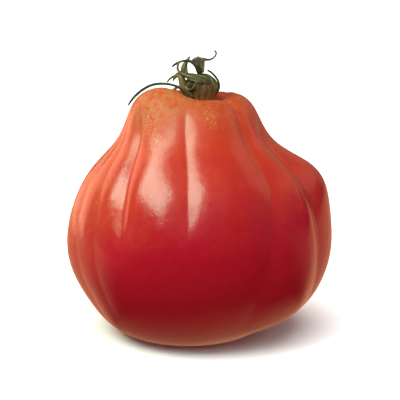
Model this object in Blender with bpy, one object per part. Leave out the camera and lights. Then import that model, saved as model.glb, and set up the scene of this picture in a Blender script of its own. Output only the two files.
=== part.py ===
"""Ribbed, pear-shaped tomato with its dried calyx and the stub of its stalk.

The fruit stands on a small flat spot at z = 0, with +Z up along its core and the front rib towards -Y.
Sizes below are millimetres and degrees, and MM turns them into Blender's metres.
"""
import math

import bmesh
import bpy
import numpy as np

MM = 0.001

# Fruit: control points of its meridian, as distance from the core and height, from the crown's hollow
# over the rim, neck and belly to the resting spot and the blossom scar
MERIDIAN = (
    (0.0, 84.6), (3.2, 84.6), (6.4, 85.2), (9.2, 87.6), (12.2, 91.0), (17.0, 91.6), (22.4, 88.0),
    (26.0, 81.6), (29.0, 74.6), (35.2, 68.8), (42.2, 62.6), (47.2, 53.8), (50.3, 42.6), (50.6, 31.0),
    (46.8, 19.4), (39.4, 8.8), (30.0, 2.2), (20.5, 0.0), (15.5, 0.0), (10.5, 0.0), (5.5, 0.0),
    (2.6, 0.5), (0.0, 1.4),
)
# How far the core leans to the right of the middle, at even steps from the crown to the scar
LEAN = (-1.0, -1.2, -2.4, -1.0, 0.8, 0.7, 0.2, 0.0, -0.6, -2.4, -3.0, -3.0)
# Creases between ribs: azimuth from the front to the right at levels 0.20, 0.42 and 0.65, depth, width
# on the left and on the right, and the levels where it opens, is full, starts to fade and ends
CREASES = (
    ("back_left_3", -155, -152, -150, 1.7, 8, 8, 0.05, 0.20, 0.42, 0.60),
    ("back_left_2", -130, -126, -124, 2.3, 9, 9, 0.05, 0.20, 0.50, 0.82),
    ("back_left_1", -106, -99, -94, 1.8, 8, 8, 0.05, 0.22, 0.46, 0.70),
    ("left_edge", -87, -71, -63, 0.9, 6, 7, 0.10, 0.28, 0.60, 0.82),
    ("left_soft", -74, -56, -47, 1.0, 8, 7, 0.12, 0.28, 0.50, 0.85),
    ("left_sharp", -52, -39, -32, 2.9, 12, 5, 0.13, 0.24, 0.42, 0.58),
    ("front", -7, -6, -5, 1.3, 5, 6, 0.11, 0.24, 0.40, 0.54),
    ("right_long", 44, 34, 26, 1.6, 8, 8, 0.03, 0.13, 0.55, 0.82),
    ("right_valley", 72, 64, 68, 3.0, 8, 13, 0.14, 0.34, 0.52, 0.80),
    ("back_right_1", 103, 99, 97, 2.0, 9, 9, 0.05, 0.20, 0.45, 0.75),
    ("back_right_2", 126, 122, 124, 2.4, 8, 8, 0.05, 0.20, 0.40, 0.62),
    ("back_right_3", 149, 150, 152, 1.8, 8, 8, 0.05, 0.18, 0.45, 0.80),
    ("back_middle", 176, 178, 180, 2.6, 9, 8, 0.05, 0.20, 0.42, 0.64),
)
CREASE_LEVELS = (0.20, 0.42, 0.65)
CREASE_ROUNDING = 1.1
# Broad swells and dips: azimuth, level, height, half width in degrees, half width in levels
SWELLS = (
    ("left_shoulder", -48, 0.12, 3.0, 34, 0.055),
    ("right_shoulder", 55, 0.11, -0.8, 34, 0.05),
    ("rear_rim", 165, 0.11, -1.3, 62, 0.06),
    ("front_rim", 6, 0.10, -1.2, 27, 0.045),
    ("front_fill", -2, 0.27, 2.2, 40, 0.08),
    ("front_hump", -24, 0.36, 0.5, 9, 0.12),
    ("broad_front", 12, 0.40, 0.7, 16, 0.18),
    ("right_crest", 53, 0.42, 0.9, 5, 0.16),
    ("right_lobe", 85, 0.38, 2.4, 17, 0.075),
    ("right_neck", 75, 0.22, -1.2, 26, 0.07),
    ("back_belly", 165, 0.52, 1.2, 30, 0.20),
    ("left_underside", -72, 0.70, -1.2, 42, 0.10),
    ("right_underside", 58, 0.81, -2.2, 46, 0.08),
)
SMOOTH_BELOW = (0.80, 0.885)
COLUMNS_PER_RIB = 8
FRUIT_RINGS = 46

# Calyx: control points of its cup, as distance from the axis and height, from under to top
CUP = (
    (0.0, 84.95), (1.5, 84.95), (2.5, 85.4), (3.2, 87.0), (4.2, 89.0), (5.5, 90.6), (6.1, 92.4),
    (5.5, 94.6), (4.2, 96.4), (2.8, 97.5), (1.5, 97.8), (0.0, 97.8),
)
CUP_CENTRE = (0.9, 0.0)
CUP_RIBS = 14
CUP_RIB_DEPTH = 0.55
# Hollow in the cup's left side, where the strap stands off: azimuth, level, depth, half width in degrees
# and in levels
CUP_DENT = (-62, 0.66, 2.2, 38, 0.085)
CUP_COLUMNS = 56
CUP_RINGS = 18
# Sepals: points along the middle, widths at even steps from root to tip, thickness, the azimuth that the
# blade faces, and how far it is rolled from that at root and tip
SEPALS = (
    ("long_left", ((-0.6, -2.6, 88.6), (-3.4, -4.4, 89.8), (-5.6, -4.7, 91.9), (-8.0, -4.7, 93.9),
                   (-11.2, -4.5, 94.7), (-14.8, -4.4, 94.9), (-18.4, -4.5, 94.2), (-22.0, -4.9, 91.9),
                   (-24.8, -4.9, 89.0), (-26.5, -4.6, 86.0)),
     (1.6, 1.2, 1.0, 1.4, 1.5, 0.7), 0.8, 0, -75, -70),
    ("left_strap", ((-1.6, -3.4, 88.8), (-4.2, -4.4, 90.6), (-5.7, -4.7, 92.8), (-6.1, -4.7, 95.2),
                    (-6.5, -4.5, 97.4), (-7.9, -4.1, 98.2), (-9.2, -3.8, 97.0), (-9.8, -3.6, 95.2)),
     (4.2, 3.2, 2.7, 2.9, 2.4, 1.3, 0.7), 0.8, 0, 0, -20),
    ("left_wisp", ((-6.4, -4.0, 97.2), (-8.4, -3.4, 97.8), (-10.4, -3.0, 96.8), (-12.0, -3.0, 94.9)),
     (0.9, 0.8, 0.6), 0.6, 0, 0, 0),
    ("curled_edge", ((-5.6, -3.9, 95.0), (-4.9, -4.8, 93.0), (-3.3, -5.4, 92.4), (-1.9, -5.8, 93.4),
                     (-1.3, -5.5, 95.2), (-0.8, -4.4, 97.0)),
     (0.9, 0.8, 0.8, 0.9), 0.7, 0, 20, 20),
    ("front_band", ((4.9, -3.4, 94.6), (3.0, -4.8, 95.9), (0.9, -5.4, 96.7), (-1.3, -5.4, 97.3),
                    (-3.5, -5.2, 97.9), (-5.8, -4.8, 98.2), (-7.6, -4.5, 99.1), (-8.1, -4.2, 101.0),
                    (-7.4, -3.7, 102.6), (-5.8, -3.1, 102.9)),
     (2.2, 3.2, 3.8, 3.4, 2.2, 1.3, 0.9, 0.8, 0.7), 0.8, 0, -35, -50),
    ("upright_left", ((-2.6, -0.6, 95.6), (-4.9, 0.0, 97.0), (-5.8, 0.3, 98.8), (-5.6, 0.4, 100.4),
                      (-4.9, 0.4, 102.0), (-4.2, 0.4, 103.1), (-3.3, 0.4, 104.2)),
     (1.8, 2.0, 2.9, 2.3, 1.3, 1.1, 0.6), 0.7, 0, 15, 0),
    ("dark_arch", ((0.6, -2.2, 96.4), (-0.1, -3.1, 99.2), (-1.0, -3.2, 101.2), (-2.4, -2.8, 102.4),
                   (-4.0, -2.5, 102.9), (-5.8, -2.4, 102.9), (-7.6, -2.3, 102.4), (-9.1, -2.3, 101.5),
                   (-10.3, -2.3, 100.4)),
     (2.2, 2.0, 1.6, 1.2, 0.9, 0.8, 0.9, 0.7), 0.7, 0, 0, -40),
    ("right_thin", ((4.0, -1.6, 89.8), (6.4, -1.8, 90.9), (7.4, -1.8, 93.2), (6.8, -1.8, 95.6),
                    (5.4, -1.8, 97.4), (4.0, -1.8, 98.8), (2.6, -1.8, 99.4)),
     (1.4, 1.1, 1.0, 0.8, 0.6), 0.7, 0, 70, 50),
    ("back_right", ((2.4, 3.0, 90.4), (3.6, 8.0, 91.6), (4.4, 13.6, 91.0), (6.6, 19.2, 88.8),
                    (9.8, 24.0, 84.6), (12.4, 26.8, 79.8)),
     (3.0, 2.8, 2.6, 1.8, 0.7), 0.8, 70, 90, 70),
    ("back_middle", ((0.6, 3.4, 91.0), (-0.4, 8.0, 92.4), (-1.6, 13.4, 92.0), (-2.8, 19.0, 90.0),
                     (-3.2, 24.0, 86.4), (-2.2, 27.4, 81.8), (0.2, 28.8, 77.4)),
     (3.2, 3.0, 2.8, 2.0, 0.7), 0.8, 90, 90, 110),
    ("back_left", ((-1.4, 3.0, 90.0), (-4.2, 7.5, 91.6), (-6.6, 12.8, 91.9), (-9.4, 18.0, 90.0),
                   (-13.2, 22.0, 86.0), (-16.2, 23.8, 81.6)),
     (3.0, 2.6, 2.4, 1.6, 0.7), 0.8, -58, -90, -70),
)
SEPAL_COLUMNS = 8
SEPAL_RINGS = 18

# Stalk: points up its middle, with the radius across at each, and how steeply its broken top falls off
STALK = (
    (0.6, 0.2, 98.15, 1.1), (0.5, 0.2, 98.8, 1.2), (0.35, 0.2, 99.9, 1.45), (0.1, 0.2, 101.2, 1.7),
    (-0.25, 0.2, 102.6, 2.1), (-0.45, 0.2, 104.0, 2.35),
)
STALK_ROOF = 0.45
STALK_COLUMNS = 12
STALK_RINGS = 14
# Torn strip of bark on the stub's top, given as a sepal is
TORN_STRIP = ("torn_strip", ((-0.4, 0.4, 102.6), (1.2, 0.6, 103.1), (2.9, 0.8, 102.7), (4.4, 0.8, 102.9),
                             (5.7, 0.8, 103.9), (6.3, 0.8, 105.1), (5.9, 0.8, 106.0), (5.3, 0.8, 106.2)),
              (2.0, 1.0, 0.7, 0.6, 0.6, 0.7), 0.6, 0, 0, 0)


def rise(start, end, value):
    """Zero below start, one above end, with a level slope and curvature at both."""
    t = np.clip((value - start) / (end - start), 0.0, 1.0)
    return t * t * t * (t * (6.0 * t - 15.0) + 10.0)


def spline_weights(part):
    """The four weights of a uniform cubic B-spline at a fraction of its span."""
    return (
        (1.0 - part) ** 3 / 6.0,
        (3.0 * part ** 3 - 6.0 * part ** 2 + 4.0) / 6.0,
        (-3.0 * part ** 3 + 3.0 * part ** 2 + 3.0 * part + 1.0) / 6.0,
        part ** 3 / 6.0,
    )


def spline(controls, before, after, fraction):
    """Points of a uniform cubic B-spline with one extra control at each end."""
    controls = np.vstack([before, np.asarray(controls, float), after])
    along = np.clip(fraction, 0.0, 1.0) * (len(controls) - 3 - 1e-9)
    span = along.astype(int)
    weights = spline_weights((along - span)[..., None])
    return sum(weight * controls[span + step] for step, weight in enumerate(weights))


def turned_profile(controls, level):
    """Distance from the axis and height at each level, spaced evenly by length, and the outward normal."""
    mirror = np.array([-1.0, 1.0])
    points = np.asarray(controls, float)
    fine = spline(points, points[1] * mirror, points[-2] * mirror, np.linspace(0.0, 1.0, 4001))
    run = np.concatenate([[0.0], np.cumsum(np.linalg.norm(np.diff(fine, axis=0), axis=1))])
    run /= run[-1]
    here = np.stack([np.interp(level, run, fine[:, axis]) for axis in (0, 1)], axis=-1)
    nudge = 0.001
    ahead = np.stack([np.interp(level + nudge, run, fine[:, axis]) for axis in (0, 1)], axis=-1)
    behind = np.stack([np.interp(level - nudge, run, fine[:, axis]) for axis in (0, 1)], axis=-1)
    slope = ahead - behind
    slope /= np.linalg.norm(slope, axis=-1, keepdims=True)
    return here[..., 0], here[..., 1], -slope[..., 1], slope[..., 0]


def crease_azimuth(high, middle, low, level):
    """The parabola through a crease's three azimuths."""
    first, second, third = CREASE_LEVELS
    x = np.clip(level, 0.16, 0.80)
    return (high * (x - second) * (x - third) / ((first - second) * (first - third))
            + middle * (x - first) * (x - third) / ((second - first) * (second - third))
            + low * (x - first) * (x - second) / ((third - first) * (third - second)))


def turn_between(azimuth, other):
    """The turn from one azimuth to another, between -180 and 180 degrees."""
    return (azimuth - other + 180.0) % 360.0 - 180.0


def crease_fall(azimuth, level, crease):
    """How deep into one crease a point lies, from 0 to 1: an exponential fall with a rounded bottom."""
    _, high, middle, low, _, left, right, opens, full, fades, ends = crease
    turn = turn_between(azimuth, crease_azimuth(high, middle, low, level))
    width = np.where(turn < 0.0, left, right)
    rounding = CREASE_ROUNDING / width
    fall = np.exp(rounding - np.sqrt((turn / width) ** 2 + rounding ** 2))
    return fall * rise(opens, full, level) * (1.0 - rise(fades, ends, level))


def skin_height(azimuth, level):
    """How far the skin stands out from the turned meridian, from its creases and swells."""
    height = np.zeros(np.broadcast(azimuth, level).shape)
    for crease in CREASES:
        height -= crease[4] * crease_fall(azimuth, level, crease)
    for _, centre, at_level, amount, spread, level_spread in SWELLS:
        turn = turn_between(azimuth, centre)
        height += amount * np.exp(-(turn / spread) ** 2 - ((level - at_level) / level_spread) ** 2)
    return height * (1.0 - rise(*SMOOTH_BELOW, level))


def rib_azimuth(column, columns_per_rib, level):
    """Azimuth of a mesh column, so that whole columns run along the creases and crowd beside them."""
    count = len(CREASES)
    rib = np.floor_divide(column, columns_per_rib).astype(int) % count
    edges = np.stack([crease_azimuth(*crease[1:4], level) for crease in CREASES])
    start = np.take_along_axis(edges, rib[None], axis=0)[0]
    following = np.take_along_axis(edges, ((rib + 1) % count)[None], axis=0)[0]
    following = following + np.where(rib == count - 1, 360.0, 0.0)
    part = (column % columns_per_rib) / columns_per_rib
    part = part - 0.09 * np.sin(2.0 * math.pi * part)
    return start + (following - start) * part


def fruit_point(azimuth, level):
    """Point of the skin at an azimuth and level, in millimetres."""
    distance, height, out, up = turned_profile(MERIDIAN, level)
    stand = skin_height(azimuth, level)
    distance = distance + out * stand
    height = height + up * stand
    lean = np.asarray(LEAN, float)[:, None]
    aside = spline(lean, lean[0], lean[-1], level)[..., 0]
    turn = np.radians(azimuth)
    return np.stack([distance * np.sin(turn) + aside, -distance * np.cos(turn), height], axis=-1)


def cup_point(azimuth, level):
    """Point of the cup that carries the sepals, ribbed like a little basket."""
    distance, height, out, _ = turned_profile(CUP, level)
    turn = np.radians(azimuth)
    rib = CUP_RIB_DEPTH * (np.abs(np.cos(0.5 * CUP_RIBS * turn)) - 0.6)
    fade = rise(0.15, 0.32, level) * (1.0 - rise(0.72, 0.85, level))
    centre, at_level, depth, spread, level_spread = CUP_DENT
    aside = turn_between(azimuth, centre)
    dent = depth * np.exp(-(aside / spread) ** 2 - ((level - at_level) / level_spread) ** 2)
    distance = distance + out * (rib * fade - dent)
    return np.stack([distance * np.sin(turn) + CUP_CENTRE[0], -distance * np.cos(turn) + CUP_CENTRE[1],
                     height], axis=-1)


def path_frame(points, fraction, facing):
    """Points along a smooth path, with two directions across it: sideways, and towards the facing azimuth."""
    points = np.asarray(points, float)
    before = 2.0 * points[0] - points[1]
    after = 2.0 * points[-1] - points[-2]
    centre = spline(points, before, after, fraction)
    ahead = spline(points, before, after, fraction + 0.01) - spline(points, before, after, fraction - 0.01)
    ahead /= np.linalg.norm(ahead, axis=-1, keepdims=True)
    turn = math.radians(facing)
    side = np.cross(ahead, (math.sin(turn), -math.cos(turn), 0.0))
    side /= np.linalg.norm(side, axis=-1, keepdims=True)
    return centre, side, np.cross(side, ahead)


def blade_point(blade, around, along):
    """Point of a thin blade: a flat, slightly keeled section carried along its path."""
    _, points, widths, thickness, facing, first_roll, last_roll = blade
    centre, side, face = path_frame(points, 0.02 + 0.96 * along, facing)
    widths = np.asarray(widths, float)[:, None]
    width = spline(widths, 2.0 * widths[0] - widths[1], 2.0 * widths[-1] - widths[-2], along)[..., 0]
    end = np.sqrt(np.clip(1.0 - np.abs(2.0 * along - 1.0) ** 14, 0.0, 1.0))
    roll = np.radians(first_roll + (last_roll - first_roll) * along)
    across = 0.5 * width * end * np.cos(around)
    through = 0.5 * thickness * end * np.sin(around) - 0.18 * width * end * np.cos(around) ** 2
    across, through = (across * np.cos(roll) - through * np.sin(roll),
                       across * np.sin(roll) + through * np.cos(roll))
    return centre + side * across[..., None] + face * through[..., None]


def stalk_point(around, along):
    """Point of the stalk stub: an angular tube that widens upwards and ends like a low roof."""
    rows = np.asarray(STALK, float)
    cap = np.clip(np.minimum(along, 1.0 - along) / 0.12, 0.0, 1.0)
    height = np.clip((along - 0.12) / 0.76, 0.0, 1.0)
    middle = spline(rows, 2.0 * rows[0] - rows[1], 2.0 * rows[-1] - rows[-2], height)
    radius = middle[..., 3] * cap * (1.0 + 0.10 * np.cos(3.0 * around + 0.6))
    aside = radius * np.sin(around)
    fall = STALK_ROOF * np.abs(aside) * rise(0.45, 0.88, along)
    return np.stack([middle[..., 0] + aside, middle[..., 1] - radius * np.cos(around),
                     middle[..., 2] - fall], axis=-1)


def sheet_object(name, columns, rings, place):
    """A closed object from a primitive sphere, each column and ring of it moved by place."""
    mesh = bmesh.new()
    bmesh.ops.create_uvsphere(mesh, u_segments=columns, v_segments=rings, radius=1.0)
    start = np.array([vertex.co[:] for vertex in mesh.verts])
    turn = np.arctan2(start[:, 0], -start[:, 1])
    column = np.round(turn / (2.0 * math.pi / columns)).astype(int) % columns
    ring = np.round(np.arccos(np.clip(start[:, 2], -1.0, 1.0)) / math.pi * rings).astype(int)
    column[(ring == 0) | (ring == rings)] = 0
    for vertex, point in zip(mesh.verts, place(column, ring)):
        vertex.co = point * MM
    bmesh.ops.recalc_face_normals(mesh, faces=mesh.faces)
    for face in mesh.faces:
        face.smooth = True
    data = bpy.data.meshes.new(name)
    mesh.to_mesh(data)
    mesh.free()
    return bpy.data.objects.new(name, data)


def even_level(ring, rings):
    """Level of a ring, with the rings crowded towards the crown and the resting spot."""
    part = ring / rings
    return part - 0.03 * np.sin(2.0 * math.pi * part)


def make_material(name, colour, roughness):
    material = bpy.data.materials.new(name)
    material.use_nodes = True
    shader = material.node_tree.nodes["Principled BSDF"]
    shader.inputs["Base Color"].default_value = colour
    shader.inputs["Roughness"].default_value = roughness
    shader.inputs["Metallic"].default_value = 0.0
    return material


def skin_material():
    """Glossy red tomato skin."""
    return make_material("tomato_skin", (0.55, 0.04, 0.025, 1.0), 0.28)


def calyx_material():
    """Dull olive of dried sepals."""
    return make_material("dried_calyx", (0.11, 0.11, 0.045, 1.0), 0.80)


def stalk_material():
    """Grey-brown of a withered stalk."""
    return make_material("dried_stalk", (0.15, 0.12, 0.07, 1.0), 0.85)


def make_fruit(collection):
    def place(column, ring):
        level = even_level(ring, FRUIT_RINGS)
        return fruit_point(rib_azimuth(column, COLUMNS_PER_RIB, level), level)

    fruit = sheet_object("fruit", COLUMNS_PER_RIB * len(CREASES), FRUIT_RINGS, place)
    fruit.data.materials.append(skin_material())
    collection.objects.link(fruit)
    return fruit


def make_blade(blade, collection):
    def place(column, ring):
        around = 2.0 * math.pi * column / SEPAL_COLUMNS
        return blade_point(blade, around, 1.0 - ring / SEPAL_RINGS)

    piece = sheet_object(blade[0], SEPAL_COLUMNS, SEPAL_RINGS, place)
    collection.objects.link(piece)
    piece.display_type = "WIRE"
    return piece


def fuse(body, others, blades):
    """Joins the body with all the blades of a collection and removes them."""
    union = body.modifiers.new("blades", "BOOLEAN")
    union.operation = "UNION"
    union.operand_type = "COLLECTION"
    union.collection = others
    union.solver = "EXACT"
    graph = bpy.context.evaluated_depsgraph_get()
    fused = bpy.data.meshes.new_from_object(body.evaluated_get(graph))
    body.modifiers.clear()
    body.data = fused
    body.data.name = body.name
    for blade in blades:
        bpy.data.objects.remove(blade)


def make_calyx(collection, cutters):
    def place(column, ring):
        return cup_point(360.0 * column / CUP_COLUMNS, 1.0 - ring / CUP_RINGS)

    calyx = sheet_object("calyx", CUP_COLUMNS, CUP_RINGS, place)
    calyx.data.materials.append(calyx_material())
    collection.objects.link(calyx)
    fuse(calyx, cutters, [make_blade(sepal, cutters) for sepal in SEPALS])
    return calyx


def make_stalk(collection, cutters):
    def place(column, ring):
        return stalk_point(2.0 * math.pi * column / STALK_COLUMNS, 1.0 - ring / STALK_RINGS)

    stalk = sheet_object("stalk", STALK_COLUMNS, STALK_RINGS, place)
    stalk.data.materials.append(stalk_material())
    collection.objects.link(stalk)
    fuse(stalk, cutters, [make_blade(TORN_STRIP, cutters)])
    return stalk


def main():
    for old in list(bpy.data.objects):
        bpy.data.objects.remove(old)
    tomato = bpy.data.collections.new("tomato")
    bpy.context.scene.collection.children.link(tomato)
    cutters = bpy.data.collections.new("cutters")
    bpy.context.scene.collection.children.link(cutters)
    cutters.hide_render = True
    make_fruit(tomato)
    make_calyx(tomato, cutters)
    make_stalk(tomato, cutters)


main()
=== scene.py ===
"""Looks of a ribbed, pear-shaped tomato: glossy skin, dried calyx and withered stalk, on a pale floor.

The pieces repeat the named sizes of the part's own source, worked out on finer grids. Sizes are
millimetres and degrees, and MM turns them into Blender's metres.
"""
import math

import bpy
import numpy as np
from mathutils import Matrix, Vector


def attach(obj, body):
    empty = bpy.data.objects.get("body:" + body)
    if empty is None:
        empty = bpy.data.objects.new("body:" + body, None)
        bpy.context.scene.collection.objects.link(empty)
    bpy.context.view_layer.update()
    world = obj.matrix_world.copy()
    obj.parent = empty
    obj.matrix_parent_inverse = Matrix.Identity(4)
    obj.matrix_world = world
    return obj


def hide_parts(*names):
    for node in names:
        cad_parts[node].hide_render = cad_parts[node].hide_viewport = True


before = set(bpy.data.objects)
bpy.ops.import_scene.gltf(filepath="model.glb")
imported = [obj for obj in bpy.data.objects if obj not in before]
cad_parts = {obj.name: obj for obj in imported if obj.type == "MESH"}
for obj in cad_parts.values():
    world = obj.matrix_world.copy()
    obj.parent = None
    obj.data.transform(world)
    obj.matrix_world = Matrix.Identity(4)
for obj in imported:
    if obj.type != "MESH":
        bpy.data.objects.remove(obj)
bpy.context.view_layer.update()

bl_info = {
    "name": "Oxheart tomato",
    "version": (1, 0, 0),
    "blender": (4, 5, 0),
    "location": "3D View > Sidebar > Tomato",
    "description": "Builds the skin, calyx and stalk of a ribbed tomato and a plain studio round it",
    "category": "Object",
}

MM = 0.001

# Fruit: control points of its meridian, as distance from the core and height, from the crown's hollow
# over the rim, neck and belly to the resting spot and the blossom scar
MERIDIAN = (
    (0.0, 84.6), (3.2, 84.6), (6.4, 85.2), (9.2, 87.6), (12.2, 91.0), (17.0, 91.6), (22.4, 88.0),
    (26.0, 81.6), (29.0, 74.6), (35.2, 68.8), (42.2, 62.6), (47.2, 53.8), (50.3, 42.6), (50.6, 31.0),
    (46.8, 19.4), (39.4, 8.8), (30.0, 2.2), (20.5, 0.0), (15.5, 0.0), (10.5, 0.0), (5.5, 0.0),
    (2.6, 0.5), (0.0, 1.4),
)
# How far the core leans to the right of the middle, at even steps from the crown to the scar
LEAN = (-1.0, -1.2, -2.4, -1.0, 0.8, 0.7, 0.2, 0.0, -0.6, -2.4, -3.0, -3.0)
# Creases between ribs: azimuth from the front to the right at levels 0.20, 0.42 and 0.65, depth, width
# on the left and on the right, and the levels where it opens, is full, starts to fade and ends
CREASES = (
    ("back_left_3", -155, -152, -150, 1.7, 8, 8, 0.05, 0.20, 0.42, 0.60),
    ("back_left_2", -130, -126, -124, 2.3, 9, 9, 0.05, 0.20, 0.50, 0.82),
    ("back_left_1", -106, -99, -94, 1.8, 8, 8, 0.05, 0.22, 0.46, 0.70),
    ("left_edge", -87, -71, -63, 0.9, 6, 7, 0.10, 0.28, 0.60, 0.82),
    ("left_soft", -74, -56, -47, 1.0, 8, 7, 0.12, 0.28, 0.50, 0.85),
    ("left_sharp", -52, -39, -32, 2.9, 12, 5, 0.13, 0.24, 0.42, 0.58),
    ("front", -7, -6, -5, 1.3, 5, 6, 0.11, 0.24, 0.40, 0.54),
    ("right_long", 44, 34, 26, 1.6, 8, 8, 0.03, 0.13, 0.55, 0.82),
    ("right_valley", 72, 64, 68, 3.0, 8, 13, 0.14, 0.34, 0.52, 0.80),
    ("back_right_1", 103, 99, 97, 2.0, 9, 9, 0.05, 0.20, 0.45, 0.75),
    ("back_right_2", 126, 122, 124, 2.4, 8, 8, 0.05, 0.20, 0.40, 0.62),
    ("back_right_3", 149, 150, 152, 1.8, 8, 8, 0.05, 0.18, 0.45, 0.80),
    ("back_middle", 176, 178, 180, 2.6, 9, 8, 0.05, 0.20, 0.42, 0.64),
)
CREASE_LEVELS = (0.20, 0.42, 0.65)
# Above and below these levels a crease runs straight up and down
CREASE_SPAN = (0.16, 0.80)
CREASE_ROUNDING = 1.1
# Broad swells and dips: azimuth, level, height, half width in degrees, half width in levels
SWELLS = (
    ("left_shoulder", -48, 0.12, 3.0, 34, 0.055),
    ("right_shoulder", 55, 0.11, -0.8, 34, 0.05),
    ("rear_rim", 165, 0.11, -1.3, 62, 0.06),
    ("front_rim", 6, 0.10, -1.2, 27, 0.045),
    ("front_fill", -2, 0.27, 2.2, 40, 0.08),
    ("front_hump", -24, 0.36, 0.5, 9, 0.12),
    ("broad_front", 12, 0.40, 0.7, 16, 0.18),
    ("right_crest", 53, 0.42, 0.9, 5, 0.16),
    ("right_lobe", 85, 0.38, 2.4, 17, 0.075),
    ("right_neck", 75, 0.22, -1.2, 26, 0.07),
    ("back_belly", 165, 0.52, 1.2, 30, 0.20),
    ("left_underside", -72, 0.70, -1.2, 42, 0.10),
    ("right_underside", 58, 0.81, -2.2, 46, 0.08),
)
# Levels between which creases and swells die out towards the resting spot
SMOOTH_BELOW = (0.80, 0.885)
# Corky patches on the shoulders: azimuth, level, half width in degrees, half width in levels, strength
CORKY_PATCHES = (
    (-40, 0.19, 17, 0.055, 1.0), (-26, 0.26, 12, 0.05, 0.8), (15, 0.18, 15, 0.055, 1.0),
    (-28, 0.48, 7, 0.04, 0.45),
    (110, 0.18, 22, 0.06, 0.8), (178, 0.20, 18, 0.06, 0.9), (-110, 0.17, 20, 0.05, 0.7),
)
# Less ripe patches, more orange; the one low at the left front is a painted sheen, the soft glow that runs
# on below the highlights: azimuth, level, half width in degrees, half width in levels, strength
BLUSH_AND_SHEEN_PATCHES = (
    (-86, 0.45, 34, 0.30, 0.35), (-150, 0.50, 30, 0.25, 0.25), (120, 0.45, 30, 0.25, 0.2),
    (-28, 0.49, 8, 0.045, 0.05), (-40, 0.42, 20, 0.07, 0.35),
)
# Tan bloom over the crown, and faint on the left flank: azimuth, level, half width in degrees and in
# levels, strength
TAN_PATCHES = (
    (-46, 0.14, 40, 0.075, 1.15), (12, 0.12, 34, 0.06, 0.55), (95, 0.12, 50, 0.05, 0.6),
    (-150, 0.13, 50, 0.06, 0.9), (-78, 0.40, 26, 0.16, 0.35),
)
# Worn patches, where the wax is duller: azimuth, level, half width in degrees and in levels, strength
WORN_PATCHES = (
    (-2, 0.26, 8, 0.10, 0.2), (-42, 0.11, 28, 0.06, 1.0), (-28, 0.18, 13, 0.055, 1.0),
    (-50, 0.25, 8, 0.06, 0.3),
)
# How much of the dullness comes from the tan bloom, the cork, the crown's hollow and the worn patches
DULL_TAN, DULL_CORK, DULL_HOLLOW, DULL_WORN = 0.28, 0.10, 0.34, 0.50
# Levels between which the hollow of the crown ends
HOLLOW_END = (0.05, 0.11)
# Heights between which the skin turns from ripe to orange, and how far it turns: partly the real ripening of
# the shoulders, partly painted light that makes the lit upper half lighter and oranger
TURNING_AND_LIT_HEIGHTS = (34.0, 92.0)
TURNING_AND_LIT_SHARE = 0.85
COLUMNS_PER_RIB = 24
FRUIT_RINGS = 220
# How far the mesh columns crowd towards the creases, and the rings towards the crown and the resting spot
COLUMN_CROWDING = 0.09
RING_CROWDING = 0.03

# Calyx: control points of its cup, as distance from the axis and height, from under to top
CUP = (
    (0.0, 84.95), (1.5, 84.95), (2.5, 85.4), (3.2, 87.0), (4.2, 89.0), (5.5, 90.6), (6.1, 92.4),
    (5.5, 94.6), (4.2, 96.4), (2.8, 97.5), (1.5, 97.8), (0.0, 97.8),
)
CUP_CENTRE = (0.9, 0.0)
CUP_RIBS = 14
CUP_RIB_DEPTH = 0.55
# Levels where the cup's ribs start, are full, begin to fade and end
CUP_RIB_LEVELS = (0.15, 0.32, 0.72, 0.85)
# Hollow in the cup's left side, where the strap stands off: azimuth, level, depth, half width in degrees
# and in levels
CUP_DENT = (-62, 0.66, 2.2, 38, 0.085)
CUP_COLUMNS = 224
CUP_RINGS = 90
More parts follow.
